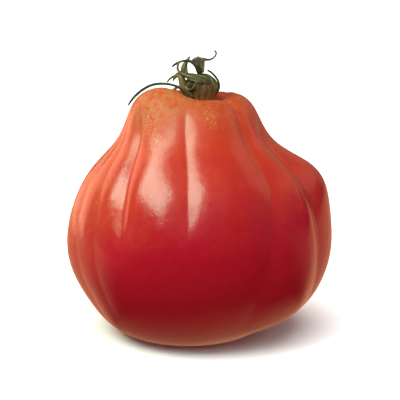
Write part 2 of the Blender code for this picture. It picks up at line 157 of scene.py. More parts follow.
# Sepals: points along the middle, widths at even steps from root to tip, thickness, the azimuth that the
# blade faces, and how far it is rolled from that at root and tip
SEPALS = (
    ("long_left", ((-0.6, -2.6, 88.6), (-3.4, -4.4, 89.8), (-5.6, -4.7, 91.9), (-8.0, -4.7, 93.9),
                   (-11.2, -4.5, 94.7), (-14.8, -4.4, 94.9), (-18.4, -4.5, 94.2), (-22.0, -4.9, 91.9),
                   (-24.8, -4.9, 89.0), (-26.5, -4.6, 86.0)),
     (1.6, 1.2, 1.0, 1.4, 1.5, 0.7), 0.8, 0, -75, -70),
    ("left_strap", ((-1.6, -3.4, 88.8), (-4.2, -4.4, 90.6), (-5.7, -4.7, 92.8), (-6.1, -4.7, 95.2),
                    (-6.5, -4.5, 97.4), (-7.9, -4.1, 98.2), (-9.2, -3.8, 97.0), (-9.8, -3.6, 95.2)),
     (4.2, 3.2, 2.7, 2.9, 2.4, 1.3, 0.7), 0.8, 0, 0, -20),
    ("left_wisp", ((-6.4, -4.0, 97.2), (-8.4, -3.4, 97.8), (-10.4, -3.0, 96.8), (-12.0, -3.0, 94.9)),
     (0.9, 0.8, 0.6), 0.6, 0, 0, 0),
    ("curled_edge", ((-5.6, -3.9, 95.0), (-4.9, -4.8, 93.0), (-3.3, -5.4, 92.4), (-1.9, -5.8, 93.4),
                     (-1.3, -5.5, 95.2), (-0.8, -4.4, 97.0)),
     (0.9, 0.8, 0.8, 0.9), 0.7, 0, 20, 20),
    ("front_band", ((4.9, -3.4, 94.6), (3.0, -4.8, 95.9), (0.9, -5.4, 96.7), (-1.3, -5.4, 97.3),
                    (-3.5, -5.2, 97.9), (-5.8, -4.8, 98.2), (-7.6, -4.5, 99.1), (-8.1, -4.2, 101.0),
                    (-7.4, -3.7, 102.6), (-5.8, -3.1, 102.9)),
     (2.2, 3.2, 3.8, 3.4, 2.2, 1.3, 0.9, 0.8, 0.7), 0.8, 0, -35, -50),
    ("upright_left", ((-2.6, -0.6, 95.6), (-4.9, 0.0, 97.0), (-5.8, 0.3, 98.8), (-5.6, 0.4, 100.4),
                      (-4.9, 0.4, 102.0), (-4.2, 0.4, 103.1), (-3.3, 0.4, 104.2)),
     (1.8, 2.0, 2.9, 2.3, 1.3, 1.1, 0.6), 0.7, 0, 15, 0),
    ("dark_arch", ((0.6, -2.2, 96.4), (-0.1, -3.1, 99.2), (-1.0, -3.2, 101.2), (-2.4, -2.8, 102.4),
                   (-4.0, -2.5, 102.9), (-5.8, -2.4, 102.9), (-7.6, -2.3, 102.4), (-9.1, -2.3, 101.5),
                   (-10.3, -2.3, 100.4)),
     (2.2, 2.0, 1.6, 1.2, 0.9, 0.8, 0.9, 0.7), 0.7, 0, 0, -40),
    ("right_thin", ((4.0, -1.6, 89.8), (6.4, -1.8, 90.9), (7.4, -1.8, 93.2), (6.8, -1.8, 95.6),
                    (5.4, -1.8, 97.4), (4.0, -1.8, 98.8), (2.6, -1.8, 99.4)),
     (1.4, 1.1, 1.0, 0.8, 0.6), 0.7, 0, 70, 50),
    ("back_right", ((2.4, 3.0, 90.4), (3.6, 8.0, 91.6), (4.4, 13.6, 91.0), (6.6, 19.2, 88.8),
                    (9.8, 24.0, 84.6), (12.4, 26.8, 79.8)),
     (3.0, 2.8, 2.6, 1.8, 0.7), 0.8, 70, 90, 70),
    ("back_middle", ((0.6, 3.4, 91.0), (-0.4, 8.0, 92.4), (-1.6, 13.4, 92.0), (-2.8, 19.0, 90.0),
                     (-3.2, 24.0, 86.4), (-2.2, 27.4, 81.8), (0.2, 28.8, 77.4)),
     (3.2, 3.0, 2.8, 2.0, 0.7), 0.8, 90, 90, 110),
    ("back_left", ((-1.4, 3.0, 90.0), (-4.2, 7.5, 91.6), (-6.6, 12.8, 91.9), (-9.4, 18.0, 90.0),
                   (-13.2, 22.0, 86.0), (-16.2, 23.8, 81.6)),
     (3.0, 2.6, 2.4, 1.6, 0.7), 0.8, -58, -90, -70),
)
# How pale each sepal is, from nearly black to khaki
SEPAL_TONES = (-0.14, 0.58, -0.05, 0.50, 0.40, 0.52, -0.16, -0.14, 0.26, 0.32, 0.26)
# How far each sepal has dried to straw brown
SEPAL_BROWNS = (0.0, 0.40, 0.0, 0.30, 0.05, 0.10, 0.0, 0.0, 0.15, 0.20, 0.15)
# Brown patches on the cup: azimuth, level, half width in degrees, half width in levels, strength
CUP_BROWN_PATCHES = ((8, 0.55, 26, 0.16, 1.0), (48, 0.52, 14, 0.10, 0.5), (170, 0.5, 40, 0.15, 0.7))
# Heights between which the dry fringe under the cup fades
FRINGE_HEIGHTS = (88.4, 92.6)
SEPAL_COLUMNS = 20
SEPAL_RINGS = 80
# A blade starts and ends this share of its path in, its keel is this share of its width deep, and the power
# sets how suddenly its ends round off
BLADE_MARGIN = 0.02
BLADE_KEEL = 0.18
BLADE_END_POWER = 14
# How much paler a blade's edges are than its middle
PALE_EDGE = 0.22

# Stalk: points up its middle, with the radius across at each, and how steeply its broken top falls off
STALK = (
    (0.6, 0.2, 98.15, 1.1), (0.5, 0.2, 98.8, 1.2), (0.35, 0.2, 99.9, 1.45), (0.1, 0.2, 101.2, 1.7),
    (-0.25, 0.2, 102.6, 2.1), (-0.45, 0.2, 104.0, 2.35),
)
STALK_ROOF = 0.45
# Shares of the way up between which the roof sets in
ROOF_START = (0.45, 0.88)
# Share of the grid that closes each end, and the corners of the stub: number, height and turn in radians
STALK_CAP = 0.12
STALK_CORNERS = (3.0, 0.10, 0.6)
# Tone of the stub in the middle, and how much it loses on the left, as painted shade where the window lights
# it, and gains on the right
STALK_TONES_AND_LEFT_SHADE = (0.57, 0.25, 0.15)
STALK_COLUMNS = 48
STALK_RINGS = 60
# Torn strip of bark on the stub's top, given as a sepal is
TORN_STRIP = ("torn_strip", ((-0.4, 0.4, 102.6), (1.2, 0.6, 103.1), (2.9, 0.8, 102.7), (4.4, 0.8, 102.9),
                             (5.7, 0.8, 103.9), (6.3, 0.8, 105.1), (5.9, 0.8, 106.0), (5.3, 0.8, 106.2)),
              (2.0, 1.0, 0.7, 0.6, 0.6, 0.7), 0.6, 0, 0, 0)
STRIP_RINGS = 80
STRIP_TONE = 0.14

# Lights: azimuth and elevation seen from the fruit, distance, width and height in metres, watts, colour
LIGHTS = (
    ("window", -62, 46, 0.80, 0.88, 0.41, 6.0, "E4FFE2"),
    ("left_panel", -134, 6, 0.70, 0.44, 0.80, 2.2, "FFB894"),
    ("right_panel", 150, 22, 0.90, 0.70, 0.60, 0.4, "FFC8A0"),
    ("right_fill", 112, 36, 1.20, 0.60, 0.60, 0.5, "FFD8B8"),
)
# Wide, far lights that the skin doesn't mirror: azimuth, elevation, spread in degrees, strength
SOFT_LIGHTS = (
    ("sky_light", -8.0, 50.0, 60.0, 2.35),
    ("right_side_light", 84.0, 14.0, 60.0, 0.9),
    ("left_side_light", -98.0, 5.0, 16.0, 0.55),
)
FLOOR_LIGHT = ("floor_light", -20.0, 75.0, 70.0, 3.2)
# The fruit's middle in metres, which the lights and the camera aim at
AIM = (0.0002, 0.0, 0.0504)
# Half the width of the floor, and how far it lies under the fruit so that they don't share a face, in metres
FLOOR_REACH = 8.0
FLOOR_DROP = 0.0001
# The painted glow of floor under the fruit, as the skin mirrors it: the shift that brings its middle to
# zero, how far from there it ends and is full, in metres, and how warm it is. The fruit's shadow doesn't
# darken it
PAINTED_GLOW_SPOT = ((-0.009, 0.0, 0.0), 0.060, 0.034, 0.72)
# The way towards which the mirrored floor glows warm too, as a painted reflection, and the cosines between
# which it turns warm
PAINTED_GLOW_WAY = (-0.06, 0.998, 0.0)
PAINTED_GLOW_TURN = (-0.45, 0.20)
# Brightness of the studio air for the pieces, and as the camera sees it
AIR_LIGHT = 0.05
AIR_SHOWN = 1.12
# Width of the camera's sensor, in the camera's own millimetres
SENSOR_WIDTH = 36.0


def rise(start, end, value):
    """Zero below start, one above end, with a level slope and curvature at both."""
    t = np.clip((value - start) / (end - start), 0.0, 1.0)
    return t * t * t * (t * (6.0 * t - 15.0) + 10.0)


def spline_weights(part):
    """The four weights of a uniform cubic B-spline at a fraction of its span."""
    return (
        (1.0 - part) ** 3 / 6.0,
        (3.0 * part ** 3 - 6.0 * part ** 2 + 4.0) / 6.0,
        (-3.0 * part ** 3 + 3.0 * part ** 2 + 3.0 * part + 1.0) / 6.0,
        part ** 3 / 6.0,
    )


def spline(controls, before, after, fraction):
    """Points of a uniform cubic B-spline with one extra control at each end."""
    controls = np.vstack([before, np.asarray(controls, float), after])
    along = np.clip(fraction, 0.0, 1.0) * (len(controls) - 3 - 1e-9)
    span = along.astype(int)
    weights = spline_weights((along - span)[..., None])
    return sum(weight * controls[span + step] for step, weight in enumerate(weights))


def turned_profile(controls, level):
    """Distance from the axis and height at each level, spaced evenly by length, and the outward normal."""
    mirror = np.array([-1.0, 1.0])
    points = np.asarray(controls, float)
    fine = spline(points, points[1] * mirror, points[-2] * mirror, np.linspace(0.0, 1.0, 4001))
    run = np.concatenate([[0.0], np.cumsum(np.linalg.norm(np.diff(fine, axis=0), axis=1))])
    run /= run[-1]
    here = np.stack([np.interp(level, run, fine[:, axis]) for axis in (0, 1)], axis=-1)
    nudge = 0.001
    ahead = np.stack([np.interp(level + nudge, run, fine[:, axis]) for axis in (0, 1)], axis=-1)
    behind = np.stack([np.interp(level - nudge, run, fine[:, axis]) for axis in (0, 1)], axis=-1)
    slope = ahead - behind
    slope /= np.linalg.norm(slope, axis=-1, keepdims=True)
    return here[..., 0], here[..., 1], -slope[..., 1], slope[..., 0]


def crease_azimuth(high, middle, low, level):
    """The parabola through a crease's three azimuths."""
    first, second, third = CREASE_LEVELS
    x = np.clip(level, *CREASE_SPAN)
    return (high * (x - second) * (x - third) / ((first - second) * (first - third))
            + middle * (x - first) * (x - third) / ((second - first) * (second - third))
            + low * (x - first) * (x - second) / ((third - first) * (third - second)))


def turn_between(azimuth, other):
    """The turn from one azimuth to another, between -180 and 180 degrees."""
    return (azimuth - other + 180.0) % 360.0 - 180.0


def crease_fall(azimuth, level, crease):
    """How deep into one crease a point lies, from 0 to 1: an exponential fall with a rounded bottom."""
    _, high, middle, low, _, left, right, opens, full, fades, ends = crease
    turn = turn_between(azimuth, crease_azimuth(high, middle, low, level))
    width = np.where(turn < 0.0, left, right)
    rounding = CREASE_ROUNDING / width
    fall = np.exp(rounding - np.sqrt((turn / width) ** 2 + rounding ** 2))
    return fall * rise(opens, full, level) * (1.0 - rise(fades, ends, level))


def skin_height(azimuth, level):
    """How far the skin stands out from the turned meridian, from its creases and swells."""
    height = np.zeros(np.broadcast(azimuth, level).shape)
    for crease in CREASES:
        height -= crease[4] * crease_fall(azimuth, level, crease)
    for _, centre, at_level, amount, spread, level_spread in SWELLS:
        turn = turn_between(azimuth, centre)
        height += amount * np.exp(-(turn / spread) ** 2 - ((level - at_level) / level_spread) ** 2)
    return height * (1.0 - rise(*SMOOTH_BELOW, level))


def patches(azimuth, level, places):
    """Sum of soft patches, each a bell in azimuth and level, between 0 and 1."""
    total = np.zeros(np.broadcast(azimuth, level).shape)
    for centre, at_level, spread, level_spread, strength in places:
        turn = turn_between(azimuth, centre)
        total += strength * np.exp(-(turn / spread) ** 2 - ((level - at_level) / level_spread) ** 2)
    return np.clip(total, 0.0, 1.0)


def rib_azimuth(column, columns_per_rib, level):
    """Azimuth of a mesh column, so that whole columns run along the creases and crowd beside them."""
    count = len(CREASES)
    rib = np.floor_divide(column, columns_per_rib).astype(int) % count
    edges = np.stack([crease_azimuth(*crease[1:4], level) for crease in CREASES])
    start = np.take_along_axis(edges, rib[None], axis=0)[0]
    following = np.take_along_axis(edges, ((rib + 1) % count)[None], axis=0)[0]
    following = following + np.where(rib == count - 1, 360.0, 0.0)
    part = (column % columns_per_rib) / columns_per_rib
    part = part - COLUMN_CROWDING * np.sin(2.0 * math.pi * part)
    return start + (following - start) * part


def fruit_point(azimuth, level):
    """Point of the skin at an azimuth and level, in millimetres."""
    distance, height, out, up = turned_profile(MERIDIAN, level)
    stand = skin_height(azimuth, level)
    distance = distance + out * stand
    height = height + up * stand
    lean = np.asarray(LEAN, float)[:, None]
    aside = spline(lean, lean[0], lean[-1], level)[..., 0]
    turn = np.radians(azimuth)
    return np.stack([distance * np.sin(turn) + aside, -distance * np.cos(turn), height], axis=-1)


def cup_rib(turn):
    """One on the crests of the cup's ribs and zero in the grooves: the size of a cosine of the turn."""
    return np.abs(np.cos(0.5 * CUP_RIBS * turn))


def cup_point(azimuth, level):
    """Point of the cup that carries the sepals: a turned profile with ribs, and a bell-shaped dent."""
    distance, height, out, _ = turned_profile(CUP, level)
    turn = np.radians(azimuth)
    rib = CUP_RIB_DEPTH * (cup_rib(turn) - 0.6)
    starts, full, fades, ends = CUP_RIB_LEVELS
    fade = rise(starts, full, level) * (1.0 - rise(fades, ends, level))
    centre, at_level, depth, spread, level_spread = CUP_DENT
    aside = turn_between(azimuth, centre)
    dent = depth * np.exp(-(aside / spread) ** 2 - ((level - at_level) / level_spread) ** 2)
    distance = distance + out * (rib * fade - dent)
    return np.stack([distance * np.sin(turn) + CUP_CENTRE[0], -distance * np.cos(turn) + CUP_CENTRE[1],
                     height], axis=-1)


def path_frame(points, fraction, facing):
    """Points along a smooth path, with two directions across it: sideways and towards an azimuth."""
    points = np.asarray(points, float)
    before = 2.0 * points[0] - points[1]
    after = 2.0 * points[-1] - points[-2]
    centre = spline(points, before, after, fraction)
    nudge = 0.01
    ahead = (spline(points, before, after, fraction + nudge)
             - spline(points, before, after, fraction - nudge))
    ahead /= np.linalg.norm(ahead, axis=-1, keepdims=True)
    turn = math.radians(facing)
    side = np.cross(ahead, (math.sin(turn), -math.cos(turn), 0.0))
    side /= np.linalg.norm(side, axis=-1, keepdims=True)
    return centre, side, np.cross(side, ahead)


def blade_point(blade, around, along):
    """Point of a thin blade: a flat, slightly keeled section carried along its path."""
    _, points, widths, thickness, facing, first_roll, last_roll = blade
    centre, side, face = path_frame(points, BLADE_MARGIN + (1.0 - 2.0 * BLADE_MARGIN) * along, facing)
    widths = np.asarray(widths, float)[:, None]
    width = spline(widths, 2.0 * widths[0] - widths[1], 2.0 * widths[-1] - widths[-2], along)[..., 0]
    end = np.sqrt(np.clip(1.0 - np.abs(2.0 * along - 1.0) ** BLADE_END_POWER, 0.0, 1.0))
    roll = np.radians(first_roll + (last_roll - first_roll) * along)
    across = 0.5 * width * end * np.cos(around)
    through = (0.5 * thickness * end * np.sin(around)
               - BLADE_KEEL * width * end * np.cos(around) ** 2)
    across, through = (across * np.cos(roll) - through * np.sin(roll),
                       across * np.sin(roll) + through * np.cos(roll))
    return centre + side * across[..., None] + face * through[..., None]


def stalk_point(around, along):
    """Point of the stalk stub: an angular tube that widens upwards and ends like a low roof."""
    rows = np.asarray(STALK, float)
    cap = np.clip(np.minimum(along, 1.0 - along) / STALK_CAP, 0.0, 1.0)
    height = np.clip((along - STALK_CAP) / (1.0 - 2.0 * STALK_CAP), 0.0, 1.0)
    middle = spline(rows, 2.0 * rows[0] - rows[1], 2.0 * rows[-1] - rows[-2], height)
    corners, sharpness, twist = STALK_CORNERS
    radius = middle[..., 3] * cap * (1.0 + sharpness * np.cos(corners * around + twist))
    aside = radius * np.sin(around)
    fall = STALK_ROOF * np.abs(aside) * rise(*ROOF_START, along)
    return np.stack([middle[..., 0] + aside, middle[..., 1] - radius * np.cos(around),
                     middle[..., 2] - fall], axis=-1)


def closed_grid(columns, rings):
    """Column and ring of each vertex of a closed surface with a pole at both ends, and its faces."""
    column = np.concatenate([[0], np.tile(np.arange(columns), rings - 1), [0]])
    ring = np.concatenate([[0], np.repeat(np.arange(1, rings), columns), [rings]])
    here = np.arange(columns)
    after = (here + 1) % columns
    rows = 1 + columns * np.arange(rings - 2)[:, None]
    quads = np.stack([rows + here, rows + after, rows + columns + after, rows + columns + here], axis=-1)
    last = 1 + columns * (rings - 2)
    pole = last + columns
    caps = np.concatenate([np.stack([np.zeros_like(here), 1 + after, 1 + here], axis=-1),
                           np.stack([np.full_like(here, pole), last + here, last + after], axis=-1)])
    return column, ring, quads.reshape(-1, 4), caps


def surface_object(name, points, quads, caps):
    """A smooth mesh object of points in millimetres, with its faces turned outwards."""
    if signed_volume(points, quads, caps) < 0.0:
        quads = quads[:, ::-1]
        caps = caps[:, ::-1]
    mesh = bpy.data.meshes.new(name)
    mesh.from_pydata(points * MM, [], [*quads.tolist(), *caps.tolist()])
    mesh.polygons.foreach_set("use_smooth", np.ones(len(mesh.polygons), bool))
    mesh.update()
    piece = bpy.data.objects.new(name, mesh)
    bpy.context.scene.collection.objects.link(piece)
    return piece


def signed_volume(points, quads, caps):
    """Volume inside the faces, negative where they point inwards."""
    corners = np.concatenate([quads[:, [0, 1, 2]], quads[:, [0, 2, 3]], caps])
    a, b, c = (points[corners[:, k]] for k in range(3))
    return float(np.sum(a * np.cross(b, c)) / 6.0)


def add_attribute(piece, name, values):
    """A number or a vector on each vertex, for the materials."""
    values = np.ascontiguousarray(values, np.float32)
    if values.ndim == 1:
        piece.data.attributes.new(name, "FLOAT", "POINT").data.foreach_set("value", values)
    else:
        made = piece.data.attributes.new(name, "FLOAT_VECTOR", "POINT")
        made.data.foreach_set("vector", values.ravel())


def even_level(ring, rings):
    """Level of a ring, with the rings crowded towards the crown and the resting spot."""
    part = ring / rings
    return part - RING_CROWDING * np.sin(2.0 * math.pi * part)


def linear(code):
    """A colour from its sRGB hex code, turned to linear light."""
    channels = np.array([int(code[k:k + 2], 16) / 255.0 for k in (0, 2, 4)])
    light = np.where(channels <= 0.04045, channels / 12.92, ((channels + 0.055) / 1.055) ** 2.4)
    return (*light.tolist(), 1.0)


def add_node(material, kind, settings=None, inputs=None, links=None):
    """Adds a shader node with its properties, socket values and incoming links."""
    node = material.node_tree.nodes.new(kind)
    for name, value in (settings or {}).items():
        setattr(node, name, value)
    for name, value in (inputs or {}).items():
        node.inputs[name].default_value = value
    for name, output in (links or {}).items():
        material.node_tree.links.new(output, node.inputs[name])
    return node


def new_material(name):
    """An empty material, with its output node."""
    material = bpy.data.materials.new(name)
    material.use_nodes = True
    material.node_tree.nodes.clear()
    return material, add_node(material, "ShaderNodeOutputMaterial")


def ramp(material, stops, factor):
    """A colour ramp from pairs of place and colour."""
    node = add_node(material, "ShaderNodeValToRGB", links={"Fac": factor})
    elements = node.color_ramp.elements
    while len(elements) < len(stops):
        elements.new(0.5)
    for element, (place, colour) in zip(elements, stops):
        element.position = place
        element.color = colour
    return node.outputs["Color"]


def noise(material, size_mm, detail=3.0, along=None):
    """Noise with blobs about size_mm wide, on Object coordinates or on a vector attribute in metres."""
    if along is None:
        place = add_node(material, "ShaderNodeTexCoord").outputs["Object"]
    else:
        place = add_node(material, "ShaderNodeAttribute", {"attribute_name": along}).outputs["Vector"]
    return add_node(material, "ShaderNodeTexNoise",
                    inputs={"Scale": 1.0 / (size_mm * MM), "Detail": detail},
                    links={"Vector": place}).outputs["Fac"]


def attribute(material, name):
    """The number that a piece's vertices carry under a name."""
    return add_node(material, "ShaderNodeAttribute", {"attribute_name": name}).outputs["Fac"]


def mathematics(material, operation, first, second=None, third=None, clamp=False):
    """A Math node of up to three sockets or numbers."""
    node = add_node(material, "ShaderNodeMath", {"operation": operation, "use_clamp": clamp})
    for place, value in enumerate((first, second, third)):
        if value is None:
            continue
        if isinstance(value, bpy.types.NodeSocket):
            material.node_tree.links.new(value, node.inputs[place])
        else:
            node.inputs[place].default_value = value
    return node.outputs[0]


def smooth_step(material, value, start, end, top):
    """Zero where the value is at start, and top where it is at end, with level ends between."""
    return add_node(material, "ShaderNodeMapRange", {"interpolation_type": "SMOOTHSTEP"},
                    {"From Min": start, "From Max": end, "To Max": top}, {"Value": value}).outputs[0]


def mix_colours(material, factor, first, second):
    """A Mix node of two colours."""
    node = add_node(material, "ShaderNodeMix", {"data_type": "RGBA"})
    for place, value in ((0, factor), (6, first), (7, second)):
        if isinstance(value, bpy.types.NodeSocket):
            material.node_tree.links.new(value, node.inputs[place])
        else:
            node.inputs[place].default_value = value
    return node.outputs[2]


class FruitSettings(bpy.types.PropertyGroup):
    """Colours and gloss of the skin."""

    ripe: bpy.props.FloatVectorProperty(
        name="Ripe red", description="Skin colour over the belly", subtype="COLOR", size=4, min=0.0, max=1.0,
        default=linear("A60D22"))
    turning_and_lit: bpy.props.FloatVectorProperty(
        name="Orange red", description="Skin colour round the neck", subtype="COLOR", size=4, min=0.0,
        max=1.0, default=linear("C03A22"))
    crown: bpy.props.FloatVectorProperty(
        name="Crown tan", description="Skin colour on the shoulders", subtype="COLOR", size=4, min=0.0,
        max=1.0, default=linear("B86A36"))
    speckle: bpy.props.FloatVectorProperty(
        name="Gold speckle", description="Colour of the corky specks", subtype="COLOR", size=4, min=0.0,
        max=1.0, default=linear("D2A066"))
    roughness: bpy.props.FloatProperty(
        name="Roughness", description="Roughness of the waxy skin", default=0.19, min=0.05, max=1.0,
        subtype="FACTOR")


class CalyxSettings(bpy.types.PropertyGroup):
    """Colours of the dried calyx and stalk."""

    olive: bpy.props.FloatVectorProperty(
        name="Olive", description="Colour of the dried sepals", subtype="COLOR", size=4, min=0.0, max=1.0,
        default=linear("5A5832"))
    dark: bpy.props.FloatVectorProperty(
        name="Dark green", description="Colour in the folds and on the thin sepals", subtype="COLOR", size=4,
        min=0.0, max=1.0, default=linear("2A3220"))
    khaki: bpy.props.FloatVectorProperty(
        name="Khaki", description="Colour of the dry edges", subtype="COLOR", size=4, min=0.0, max=1.0,
        default=linear("98986C"))
    rust: bpy.props.FloatVectorProperty(
        name="Dry brown", description="Colour of the driest sepals and of the cup's brown patches",
        subtype="COLOR", size=4, min=0.0, max=1.0, default=linear("7A5230"))
    bark: bpy.props.FloatVectorProperty(
        name="Stalk brown", description="Colour of the withered stalk", subtype="COLOR", size=4, min=0.0,
        max=1.0, default=linear("5E5242"))
    straw: bpy.props.FloatVectorProperty(
        name="Straw", description="Colour of the dry fringe under the cup", subtype="COLOR", size=4, min=0.0,
        max=1.0, default=linear("B09C58"))


class StageSettings(bpy.types.PropertyGroup):
    """Camera and light."""

    elevation: bpy.props.FloatProperty(
        name="Camera elevation", description="Angle of the camera above the table",
        default=math.radians(12.0), min=0.0, max=math.radians(80.0), subtype="ANGLE")
    distance: bpy.props.FloatProperty(
        name="Camera distance", description="From the lens to the fruit", default=0.6, min=0.3, max=5.0,
        unit="LENGTH")
    view_width: bpy.props.FloatProperty(
        name="View width", description="Width seen at the fruit", default=0.1492, min=0.05, max=2.0,
        unit="LENGTH")
    floor: bpy.props.FloatVectorProperty(
        name="Floor colour", description="Colour of the pale floor", subtype="COLOR", size=4, min=0.0,
        max=1.0, default=linear("F4F3F1"))
    painted_dark_reflection: bpy.props.FloatVectorProperty(
        name="Mirrored dark", description="Colour of the floor in front, as the skin mirrors it",
        subtype="COLOR", size=4, min=0.0, max=1.0, default=linear("241816"))
    glow: bpy.props.FloatVectorProperty(
        name="Mirrored glow", description="Colour of the floor behind and close by, as the skin mirrors it",
        subtype="COLOR", size=4, min=0.0, max=1.0, default=linear("ECA07A"))
    bounce: bpy.props.FloatVectorProperty(
        name="Bounce", description="Colour of the floor as it throws light back on the fruit",
        subtype="COLOR", size=4, min=0.0, max=1.0, default=linear("86685C"))


def skin_material(settings):
    """Tomato skin: a thin, clear wax over red flesh.

    It gives bright highlights with soft edges over a deep crimson that turns orange and tan at the
    crown, with corky gold specks on the shoulders. The turn to orange upwards is partly painted light on the
    lit upper half.
    """
    material, output = new_material("waxy_tomato_skin")
    blotch = mathematics(material, "SUBTRACT", noise(material, 14.0, 4.0), 0.5)
    grain = mathematics(material, "SUBTRACT", noise(material, 2.5, 4.0), 0.5)
    streaks = mathematics(material, "MULTIPLY", grain, 0.12)
    wander = mathematics(material, "MULTIPLY_ADD", blotch, 0.5, streaks)
    # the crown number turns the skin orange upwards: partly ripening, partly painted light on the lit top
    # and painted sheen below the highlights
    ripeness_and_painted_light = mathematics(material, "ADD", attribute(material, "crown"), wander, clamp=True)
    red = ramp(material, ((0.05, settings.ripe), (0.75, settings.turning_and_lit)), ripeness_and_painted_light)
    mottle = mathematics(material, "MULTIPLY_ADD", noise(material, 1.8, 6.0), 3.2, -0.85)
    bloom = mathematics(material, "MULTIPLY", attribute(material, "tan"), mottle, clamp=True)
    red = mix_colours(material, bloom, red, settings.crown)
    # specks of cork are 0.3 to 0.6 mm across and crowd where the patches are strong
    below = mathematics(material, "SUBTRACT", noise(material, 0.6, 3.0), 0.89)
    above = mathematics(material, "MULTIPLY_ADD", attribute(material, "speckle"), 0.36, below)
    speck = mathematics(material, "MULTIPLY", above, 14.0, clamp=True)
    colour = mix_colours(material, mathematics(material, "MULTIPLY", speck, 0.75), red, settings.speckle)
    # the skin is dimpled every 3 mm or so and pored twice a millimetre
    dimples = mathematics(material, "MULTIPLY", noise(material, 3.0, 2.0), 3.0)
    relief = mathematics(material, "MULTIPLY_ADD", noise(material, 0.6, 2.0), 1.6, dimples)
    bump = add_node(material, "ShaderNodeBump", inputs={"Strength": 0.55, "Distance": 0.06 * MM},
                    links={"Height": relief})
    # the corky crown is duller than the wax below it
    uneven = mathematics(material, "MULTIPLY_ADD", grain, 0.3, settings.roughness)
    rough = mathematics(material, "ADD", uneven, attribute(material, "dull"))
    shader = add_node(material, "ShaderNodeBsdfPrincipled",
                      inputs={"IOR": 1.5, "Specular IOR Level": 0.80, "Subsurface Weight": 0.15,
                              "Subsurface Scale": 0.004, "Subsurface Radius": (1.0, 0.2, 0.1),
                              "Coat Weight": 0.25, "Coat Roughness": 0.15},
                      links={"Base Color": colour, "Normal": bump.outputs[0], "Roughness": rough})
    material.node_tree.links.new(shader.outputs[0], output.inputs["Surface"])
    return material


def sepal_material(settings):
    """Dried sepals: leathery, furrowed leaf, dull, from nearly black green to olive, with khaki edges.

    Fine veins run along every blade and down the cup, half a millimetre apart.
    """
    material, output = new_material("dried_sepal")
    veins = noise(material, 0.65, 4.0, "grain")
    mottled = mathematics(material, "MULTIPLY_ADD", veins, 3.0, noise(material, 1.4, 4.0))
    shade = mathematics(material, "ADD", mathematics(material, "SUBTRACT", mottled, 2.0),
                        attribute(material, "tone"), clamp=True)
    colour = ramp(material, ((0.08, settings.dark), (0.45, settings.olive), (0.90, settings.khaki)),
                  shade)
    colour = mix_colours(material, attribute(material, "brown"), colour, settings.rust)
    colour = mix_colours(material, attribute(material, "fringe"), colour, settings.straw)
    bump = add_node(material, "ShaderNodeBump", inputs={"Strength": 1.0, "Distance": 0.4 * MM},
                    links={"Height": veins})
    shader = add_node(material, "ShaderNodeBsdfPrincipled", inputs={"Roughness": 0.62, "IOR": 1.45},
                      links={"Base Color": colour, "Normal": bump.outputs[0]})
    material.node_tree.links.new(shader.outputs[0], output.inputs["Surface"])
    return material


def stalk_material(settings):
    """Withered stalk: dry, fibrous plant wood, grey-brown with darker fibres along it."""
    material, output = new_material("withered_stalk")
    fibres = noise(material, 0.5, 4.0, "grain")
    shade = mathematics(material, "ADD", mathematics(material, "MULTIPLY_ADD", fibres, 2.0, -1.0),
                        attribute(material, "tone"), clamp=True)
    colour = ramp(material, ((0.10, settings.dark), (0.55, settings.bark), (0.95, settings.khaki)), shade)
    bump = add_node(material, "ShaderNodeBump", inputs={"Strength": 0.9, "Distance": 0.25 * MM},
                    links={"Height": fibres})
    shader = add_node(material, "ShaderNodeBsdfPrincipled", inputs={"Roughness": 0.7, "IOR": 1.45},
                      links={"Base Color": colour, "Normal": bump.outputs[0]})
    material.node_tree.links.new(shader.outputs[0], output.inputs["Surface"])
    return material


def floor_material(settings):
    """Matt white paper in a dim room, with a painted reflection.

    The camera sees it evenly white, and it throws a warm, weaker light back on the fruit. Where the waxy
    skin mirrors it, the paper is not lit but glows with a painted reflection: warm behind the fruit and
    close round it, and nearly black towards the viewer.
    """
    material, output = new_material("white_paper_painted_reflection")
    place = add_node(material, "ShaderNodeTexCoord").outputs["Object"]
    shift, outer, inner, warmth = PAINTED_GLOW_SPOT
    flat = add_node(material, "ShaderNodeVectorMath", {"operation": "MULTIPLY_ADD"},
                    {1: (1.0, 1.0, 0.0), 2: shift}, {0: place}).outputs[0]
    away = add_node(material, "ShaderNodeVectorMath", {"operation": "LENGTH"}, links={0: flat})
    aside = add_node(material, "ShaderNodeVectorMath", {"operation": "NORMALIZE"}, links={0: flat})
    depth = add_node(material, "ShaderNodeVectorMath", {"operation": "DOT_PRODUCT"}, {1: PAINTED_GLOW_WAY},
                     {0: aside.outputs[0]})
    behind = smooth_step(material, depth.outputs["Value"], *PAINTED_GLOW_TURN, 1.0)
    near = smooth_step(material, away.outputs["Value"], outer, inner, warmth)
    warm = mathematics(material, "MAXIMUM", behind, near)
    # painted reflection: the colour the skin mirrors from the floor, warm behind and close by, dark in front
    mirrored = mix_colours(material, warm, settings.painted_dark_reflection, settings.glow)
    rays = add_node(material, "ShaderNodeLightPath")
    colour = mix_colours(material, rays.outputs["Is Diffuse Ray"], settings.floor, settings.bounce)
    paper = add_node(material, "ShaderNodeBsdfPrincipled", inputs={"Roughness": 0.9},
                     links={"Base Color": colour})
    # for glossy rays the floor glows with the painted reflection instead of being lit, so no shadow darkens
    # it
    mirror = add_node(material, "ShaderNodeEmission", links={"Color": mirrored})
    both = add_node(material, "ShaderNodeMixShader", links={0: rays.outputs["Is Glossy Ray"],
                                                            1: paper.outputs[0], 2: mirror.outputs[0]})
    material.node_tree.links.new(both.outputs[0], output.inputs["Surface"])
    return material


